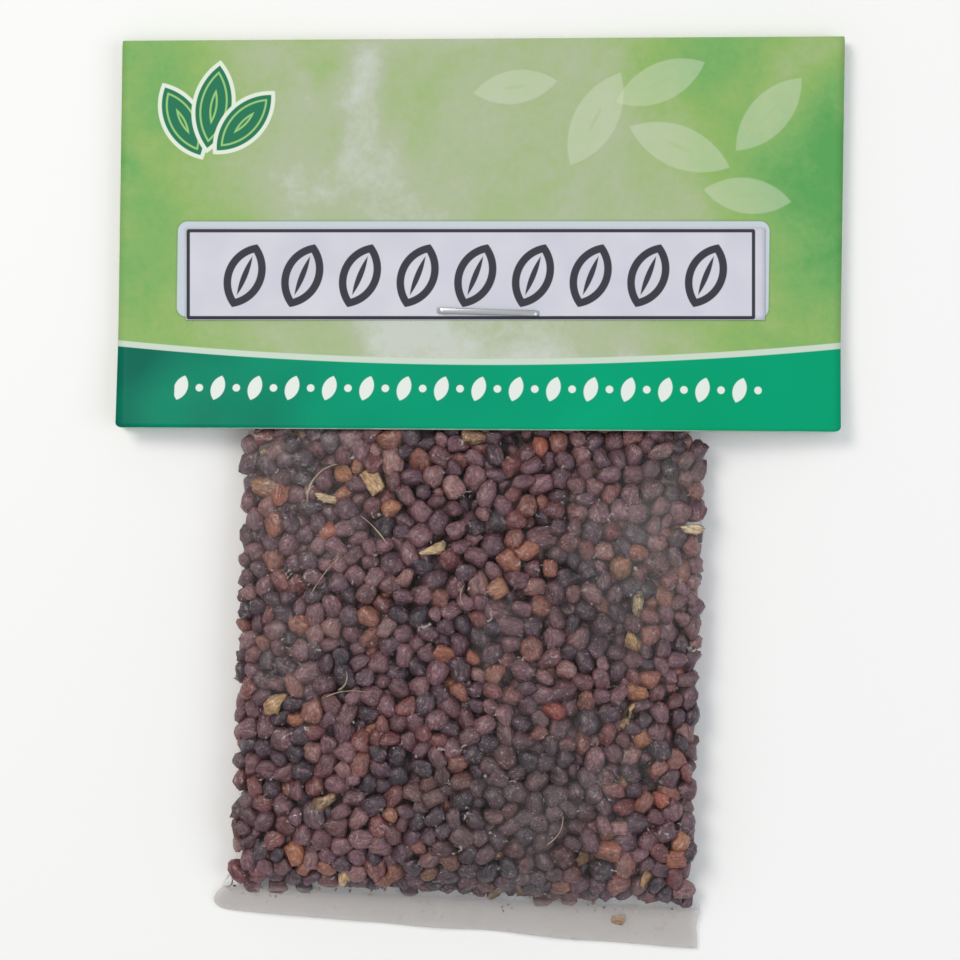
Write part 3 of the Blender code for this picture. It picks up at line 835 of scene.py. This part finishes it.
def makeScrapShape(draw):
    # one torn scrap of pod husk, thick as card, curled and tapered
    bm = cutCube()
    lumps = Vector([draw.uniform(0.0, 50.0) for _ in range(3)])
    narrow, curl = draw.uniform(*scrapForm["narrow"]), draw.uniform(*scrapForm["curl"])
    taper = draw.uniform(-scrapForm["taper"], scrapForm["taper"])
    for v in bm.verts:
        corner = (abs(v.co.x) ** 4 + abs(v.co.y) ** 4) ** 0.25
        v.co.xy /= max(1.0, corner)
        torn = 1.0 + scrapForm["torn"] * noise.noise(v.co * 1.7 + lumps)
        v.co.x *= 1.1 * torn
        v.co.y *= narrow * torn * (1.0 - taper * v.co.x)
        buckle = scrapForm["buckle"] * noise.noise(v.co * 0.9 + lumps)
        v.co.z = scrapForm["thick"] * v.co.z - curl * v.co.y * v.co.y + buckle
    return toMesh(bm, "scrapShape")


def mouthPlace(across, down):
    # midway between the hem's two layers, or above the hem where down is below nought
    layers = [hemPoint(across, front, max(0.0, down)) for front in (True, False)]
    place = (layers[0] + layers[1]) / 2
    place.y -= min(0.0, down)
    return place


def seedTurn(draw, wallHit, radius):
    # a seed by the film lies flat against it, with its cleft or its back outwards
    _, normal, _, gap = wallHit
    if gap < heap["lieFlat"] * radius:
        outward = normal if draw.random() < heap["faceOut"] else -normal
        spin = Matrix.Rotation(draw.uniform(0, math.tau), 3, "Z")
        lean = Euler((draw.gauss(0, heap["lean"]), draw.gauss(0, heap["lean"]), 0)).to_matrix()
        return outward.to_track_quat("Z", "Y").to_matrix() @ lean @ spin
    return Euler([draw.uniform(0, math.tau) for _ in range(3)]).to_matrix()


def keepInside(shape, matrix, wallHit, touch):
    # move a seed in from the film until none of it is outside, or a scrap out until it touches
    spot, normal, _, _ = wallHit
    corners = [matrix @ v.co for v in shape.vertices]
    over = max((corner - spot).dot(normal) for corner in corners) + heap["clear"]
    shift = -normal * (over if touch else max(0.0, over))
    under = max(bagLow(corner.y) - corner.z for corner in corners) + heap["clear"]
    shift.z = max(shift.z, under)
    return Matrix.Translation(shift) @ matrix


def makeSeeds():
    draw = random.Random(41)
    sizes, places, walls = settleSeeds(draw)
    seedShapes = [makeSeedShape(draw, cleft=i % 3 == 0) for i in range(heap["shapes"])]
    scrapShapes = [makeScrapShape(draw) for _ in range(heap["shapes"])]
    groups = {name: [] for name in seedCoats}
    shares = heap["shares"]
    for size, place, wallHit in zip(sizes, places, walls):
        beside = wallHit[3] < heap["lieFlat"] * 0.5 * size[1]
        scrap = beside and draw.random() < heap["scraps"]
        name = "huskScraps" if scrap else draw.choices(list(shares), shares.values())[0]
        shape = draw.choice(scrapShapes if scrap else seedShapes)
        turn = seedTurn(draw, wallHit, 0.5 * size[1])
        matrix = Matrix.LocRotScale(Vector(place), turn, Vector(size) / 2)
        matrix = keepInside(shape, matrix, wallHit, scrap)
        groups[name].append((shape, matrix, draw.random()))
    addCrumbs(draw, groups, seedShapes)
    pieces = [fuseGroup(name, members) for name, members in groups.items()]
    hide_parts("seed_fill")
    return pieces


def addCrumbs(draw, groups, seedShapes):
    # crumbs that have slipped down into the hem's mouth, and the larger strays
    for _ in range(heap["crumbs"]):
        down = draw.triangular(*heap["crumbDown"])
        across = draw.gauss(draw.choice(heap["crumbAcross"]), heap["crumbScatter"])
        across = max(-0.95, min(0.95, across))
        room = 1.0 - 0.85 * ease(down / bag["hemPinchRun"])
        size = Vector([draw.uniform(*heap["crumb"]) * part for part in (0.4 + 0.6 * room, 1.0, room)])
        turn = Matrix.Rotation(draw.uniform(0, math.tau), 3, "Z")
        name = draw.choice(("darkSeeds", "darkSeeds", "huskScraps"))
        matrix = Matrix.LocRotScale(mouthPlace(across, down), turn, size / 2)
        groups[name].append((draw.choice(seedShapes), matrix, draw.random()))
    for across, down, size, name, tone in heap["strays"]:
        matrix = Matrix.LocRotScale(mouthPlace(across, down * mm), None, Vector(size) * mm / 2)
        groups[name].append((draw.choice(seedShapes), matrix, tone))


def fuseGroup(name, members):
    # all seeds of one kind in one piece; each keeps its own place for the pattern and its tone
    bm = bmesh.new()
    grain, tones = [], []
    for number, (shape, matrix, tone) in enumerate(members):
        mesh = shape.copy()
        corners = np.zeros(len(mesh.vertices) * 3)
        mesh.vertices.foreach_get("co", corners)
        apart = np.array([7.0 * (number % 19), 5.0 * tone, 3.0 * tone])
        grain.append(corners.reshape(-1, 3) * 1.3 + apart)
        tones.append(np.full(len(mesh.vertices), tone))
        mesh.transform(matrix)
        bm.from_mesh(mesh)
        bpy.data.meshes.remove(mesh)
    piece = makePiece(name, bm, [seedCoat(*seedCoats[name])])
    own = piece.data.attributes.new("seedPlace", "FLOAT_VECTOR", "POINT")
    own.data.foreach_set("vector", np.concatenate(grain).ravel())
    own = piece.data.attributes.new("seedTone", "FLOAT", "POINT")
    own.data.foreach_set("value", np.concatenate(tones))
    return piece


stalks = {
    "count": 7, "length": (2.5 * mm, 6.5 * mm), "radius": (0.06 * mm, 0.12 * mm),
    "sides": 6, "steps": 12, "under": 0.16 * mm, "deepest": 1.0 * mm,
    "x": (-24.0, 22.0), "y": (-45.0, 3.0),  # where they start, in millimetres
    "bend": 1.8,
}


def filmAbove(x, y):
    across = (x - bag["middleX"] - bag["lean"] * (y - bag["cardY"])) / bagHalfWidth(y)
    return bagTop(across, y)


def stalkPath(draw, surface):
    # a bent line laid over the seeds, just under the film
    start = Vector((draw.uniform(*stalks["x"]) * mm, draw.uniform(*stalks["y"]) * mm, 0.0))
    angle, bend = draw.uniform(0, math.pi), draw.uniform(-stalks["bend"], stalks["bend"])
    step = draw.uniform(*stalks["length"]) / stalks["steps"]
    path = [start]
    for i in range(stalks["steps"]):
        way = angle + bend * i / stalks["steps"]
        path.append(path[-1] + step * Vector((math.cos(way), math.sin(way), 0.0)))
    for spot in path:
        spot.z = filmAbove(spot.x, spot.y)
        hit = surface.ray_cast(spot, Vector((0, 0, -1)), stalks["deepest"])[3]
        spot.z -= max(stalks["under"], 0.8 * (hit or stalks["deepest"]))
    heights = [spot.z for spot in path]
    for i, spot in enumerate(path):
        spot.z = max(heights[max(0, i - 2):i + 3])
    return path


def makeStalks(seeds):
    draw = random.Random(12)
    surface = surfaceOf(seeds)
    bm = bmesh.new()
    for _ in range(stalks["count"]):
        path = stalkPath(draw, surface)
        thick = draw.uniform(*stalks["radius"])
        tube = bmesh.ops.create_grid(bm, x_segments=stalks["sides"], y_segments=stalks["steps"],
                                     size=1.0)
        for v in tube["verts"]:
            i = round((v.co.y + 1) / 2 * stalks["steps"])
            turn = math.pi * (v.co.x + 1)
            ahead = (path[min(i + 1, len(path) - 1)] - path[max(i - 1, 0)]).normalized()
            aside = ahead.cross(Vector((0, 0, 1))).normalized()
            thin = thick * (1.0 - 0.6 * (i / stalks["steps"]) ** 2)
            v.co = path[i] + thin * (math.cos(turn) * aside + math.sin(turn) * aside.cross(ahead))
    closeSkin(bm)
    return makePiece("brokenStalks", bm, [driedStalk()])


def driedStalk():
    # Broken flower stalks and husk threads: straw coloured, matt, a little mottled.
    tones = ((0.3, "#8F7A68"), (0.7, "#BBA990"))
    return fibrousFinish("driedFlowerStalk", 900.0, 3.0, tones, 0.7)


# each coat's name, its dust, its roughness and its colours from seed to seed
seedCoats = {
    # Dried cardamom seed coat: thin, hard, shrunk into wrinkles. Blue black to purple brown.
    "darkSeeds": ("driedSeedCoatDark", "#8C6269", 0.46, (
        (0.0, "#312834"), (0.3, "#48313D"), (0.6, "#5A3B47"), (0.85, "#633B3D"), (1.0, "#694652"))),
    # The same coat with dried pulp left on it: paler, mauve to dusty tan.
    "dustySeeds": ("driedSeedCoatDusty", "#A0767A", 0.52, (
        (0.0, "#64404A"), (0.4, "#714C56"), (0.75, "#7C5659"), (1.0, "#8E6661"))),
    # The same coat less ripe or rubbed: red brown, orange and tan.
    "brownSeeds": ("driedSeedCoatBrown", "#A2766E", 0.5, (
        (0.0, "#653237"), (0.4, "#764142"), (0.66, "#804F45"), (0.84, "#965943"), (0.94, "#A2704E"),
        (1.0, "#94302E"))),
    # Torn scraps of the dried pod: papery and fibrous, cream to tan.
    "huskScraps": ("driedPodHusk", "#D6C2A2", 0.7, (
        (0.0, "#7E5C44"), (0.35, "#A67E56"), (0.7, "#BF9A70"), (1.0, "#D2BC98"))),
}


def seedCoat(name, dust, roughness, tones):
    # colour by seed; dusty patches and wrinkles in the seed's own place; a painted dark reflection over
    # the heap
    material, add = newMaterial(name)
    place = add("Attribute", attribute_name="seedPlace")["Vector"]
    tone = add("Attribute", attribute_name="seedTone")["Fac"]
    bagWide = add("TexCoord")["Object"]
    colour = add("ValToRGB", [tone], stops=tones)[0]
    patch = add("TexNoise", {
        "Vector": place, "Scale": 1.1, "Detail": 3.0, "Roughness": 0.6, "Distortion": 0.5})["Fac"]
    colour = paint(add, colour, dust, patch, 0.50, 0.68, 0.5)
    # painted dark reflection: the seeds are painted darker in cloudy patches over the heap, most round
    # one spot low in the bag, where the film reflects something dark
    paintedDarkReflection = add("TexNoise", {"Vector": bagWide, "Scale": 1 / (13 * mm), "Roughness": 0.6})["Fac"]
    paintedDarkSpot = add("VectorMath DISTANCE", [bagWide, heap["paintedDarkSpot"]])["Value"]
    paintedDarkSpot = add("MapRange", {"Value": paintedDarkSpot, "From Min": 19 * mm, "From Max": 6 * mm, "To Max": 0.22})[0]
    paintedDarkReflection = add("Math ADD", [paintedDarkReflection, paintedDarkSpot])[0]
    colour = paint(add, colour, heap["paintedDarkReflectionColour"], paintedDarkReflection, 0.53, 0.74, 0.56)
    speck = add("TexNoise", {"Vector": place, "Scale": 4.5, "Detail": 3.0})["Fac"]
    colour = paint(add, colour, heap["speckColour"], speck, 0.60, 0.72, 0.55)
    wrinkle = add("Mapping", {"Vector": place, "Scale": (0.9, 1.9, 1.9)})[0]
    wrinkle = add("TexNoise", {
        "Vector": wrinkle, "Scale": 1.5, "Detail": 3.0, "Distortion": 0.8})["Fac"]
    # painted shade and dust: the wrinkles' furrows are painted darker as shade and their ridges lighter
    # as dust, and the specks vary it further as wear
    furrowShadeAndDust = add("MapRange", {
        "Value": wrinkle, "From Min": 0.3, "From Max": 0.7, "To Min": 0.46, "To Max": 1.44})[0]
    worn = add("MapRange", {"Value": speck, "To Min": 0.60, "To Max": 1.34})[0]
    furrowShadeAndDust = add("Math MULTIPLY", [furrowShadeAndDust, worn])[0]
    colour = add("VectorMath SCALE", {0: colour, "Scale": furrowShadeAndDust})[0]
    bump = add("Bump", {"Height": wrinkle, "Strength": 0.6, "Distance": 0.22 * mm})[0]
    rough = add("MapRange", {"Value": speck, "To Min": roughness - 0.12, "To Max": roughness + 0.12})[0]
    finishMaterial(add, {
        "Base Color": colour, "Roughness": rough, "IOR": 1.48, "Normal": bump, "Coat Weight": 0.3,
        "Coat Roughness": 0.14, "Coat Normal": bump})
    return material


# Bag film

film = {
    "ring": 256, "neckRows": 14, "fillRows": 138, "hemRows": 11,
    # two spots of a painted pale reflection on the film, upper left and upper right of the heap; how
    # far it reaches, where it is full, and its strongest alpha
    "colour": "#D6CFCB", "paintedGreyReflection": ((-23 * mm, -1 * mm, 8 * mm), (22 * mm, -5 * mm, 8 * mm)),
    "paintedGreyReflectionRun": (16 * mm, 3 * mm), "paintedGreyReflectionMost": 0.025,
    "sheet": 0.06 * mm, "clear": 0.10 * mm, "deepest": 1.5 * mm, "endRun": 4.0 * mm, "pulls": 4,
    "castFrom": 0.5 * mm, "castReach": 4.0 * mm,  # each place looks for seeds from outside
    # close rows begin this far over the card's edge, bare film this far over the heap
    "fillOver": 1.0 * mm, "bareOver": 2.0 * mm,
}


def filmRows():
    fillTop = bag["cardY"] + film["fillOver"]
    neck = np.linspace(bag["mouthY"], fillTop, film["neckRows"], endpoint=False)
    fill = np.linspace(fillTop, bag["endY"], film["fillRows"], endpoint=False)
    hem = np.linspace(bag["endY"], bag["endY"] - bag["hemLength"], film["hemRows"])
    return np.concatenate([neck, fill, hem])


def spreadOut(table):
    # the mean of each place's four neighbours; the ring closes, the rows don't
    up = np.vstack([table[:1], table[:-1]])
    down = np.vstack([table[1:], table[-1:]])
    return (np.roll(table, 1, 1) + np.roll(table, -1, 1) + up + down) / 4


def drawFilmIn(base, rows, surface):
    # each place's way inwards, and how far the film goes along it to lie on the seeds
    ring = film["ring"]
    inward = np.zeros((len(rows), ring, 3))
    hits = np.full((len(rows), ring), film["deepest"])
    for r in range(len(rows)):
        for c in range(ring):
            along = base[min(r + 1, len(rows) - 1)][c] - base[max(r - 1, 0)][c]
            around = base[r][(c + 1) % ring] - base[r][c - 1]
            normal = around.cross(along).normalized()
            inward[r, c] = -normal
            start = base[r][c] + normal * film["castFrom"]
            spot = surface.ray_cast(start, -normal, film["castReach"])
            if spot[0] is not None:
                deepest = film["deepest"] * ease((rows[r] - bag["endY"]) / film["endRun"])
                hits[r, c] = min(deepest, spot[3] - film["castFrom"] - film["clear"])
            elif rows[r] > heap["topY"] + film["bareOver"] or rows[r] < bag["endY"]:
                hits[r, c] = 0.0
    sink = hits.copy()
    for _ in range(film["pulls"]):
        sink = np.minimum(hits, spreadOut(sink))
    return inward, np.maximum(sink, 0.0)


def makeFilm(contents):
    rows, ring = filmRows(), film["ring"]
    base = [[bagPoint(column / ring, y) for column in range(ring)] for y in rows]
    inward, sink = drawFilmIn(base, rows, surfaceOf(contents))
    bm = flatGrid(ring, len(rows) - 1)
    for v in bm.verts:
        c = round((v.co.x + 1) / 2 * ring) % ring
        r = round((v.co.y + 1) / 2 * (len(rows) - 1))
        v.co = base[r][c] + Vector(inward[r, c] * sink[r, c])
    bmesh.ops.remove_doubles(bm, verts=bm.verts, dist=1e-6)
    bmesh.ops.recalc_face_normals(bm, faces=bm.faces)
    piece = makePiece("bagFilm", bm, [clearFilm()])
    thicken(piece, film["sheet"])
    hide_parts("bag_film")


def clearFilm():
    # Blown polypropylene film, heat welded: clear and glossy, with a faint grey veil in clouds
    # and over the weld.
    material, add = newMaterial("clearBlownFilm")
    place = add("TexCoord")["Object"]
    parts = add("SeparateXYZ", [place])
    cloud = add("TexNoise", {"Vector": place, "Scale": 1 / (14 * mm), "Distortion": 0.8})["Fac"]
    alpha = add("MapRange", {
        "Value": cloud, "From Min": 0.46, "From Max": 0.74,
        "To Min": 0.007, "To Max": 0.036}, **smooth)[0]
    slant = bag["slant"] * -bag["endY"] / bag["halfWidth"]
    down = add("Math MULTIPLY_ADD", [parts[0], slant, parts[1]])[0]
    weld = add("MapRange", {
        "Value": down, "From Min": -49.8 * mm, "From Max": -51.4 * mm, "To Max": 0.22}, **smooth)[0]
    glint = add("TexNoise", {
        "Vector": place, "Scale": 1 / (1.1 * mm), "Detail": 1.0, "Distortion": 1.6})["Fac"]
    glint = add("MapRange", {"Value": glint, "From Min": 0.69, "From Max": 0.79, "To Max": 0.32})[0]
    # painted reflection: a pale grey veil added at two spots in the upper left and upper right of the
    # heap, where the film reflects the bright room
    paintedGreyReflection = [nearness(add, place, spot, *film["paintedGreyReflectionRun"], film["paintedGreyReflectionMost"]) for spot in film["paintedGreyReflection"]]
    for layer in (weld, glint, *paintedGreyReflection):
        alpha = add("Math ADD", [alpha, layer])[0]
    crease = add("TexNoise", {
        "Vector": place, "Scale": 1 / (3 * mm), "Detail": 3.0, "Distortion": 1.5})["Fac"]
    bump = add("Bump", {"Height": crease, "Strength": 0.3, "Distance": 0.06 * mm})[0]
    finishMaterial(add, {
        "Base Color": linear(film["colour"]), "Roughness": 0.14, "IOR": 1.5, "Specular IOR Level": 1.0,
        "Alpha": alpha, "Normal": bump})
    return material


# Making

makeStudio()
print("studio and camera are set")
makeCard()
print("card is folded")
makeLabel()
makeStaple()
print("label and staple are on")
seeds = makeSeeds()
seeds.append(makeStalks(seeds))
print("seeds are in:", sum(len(piece.data.polygons) for piece in seeds), "faces")
makeFilm(seeds)
print("film is closed")
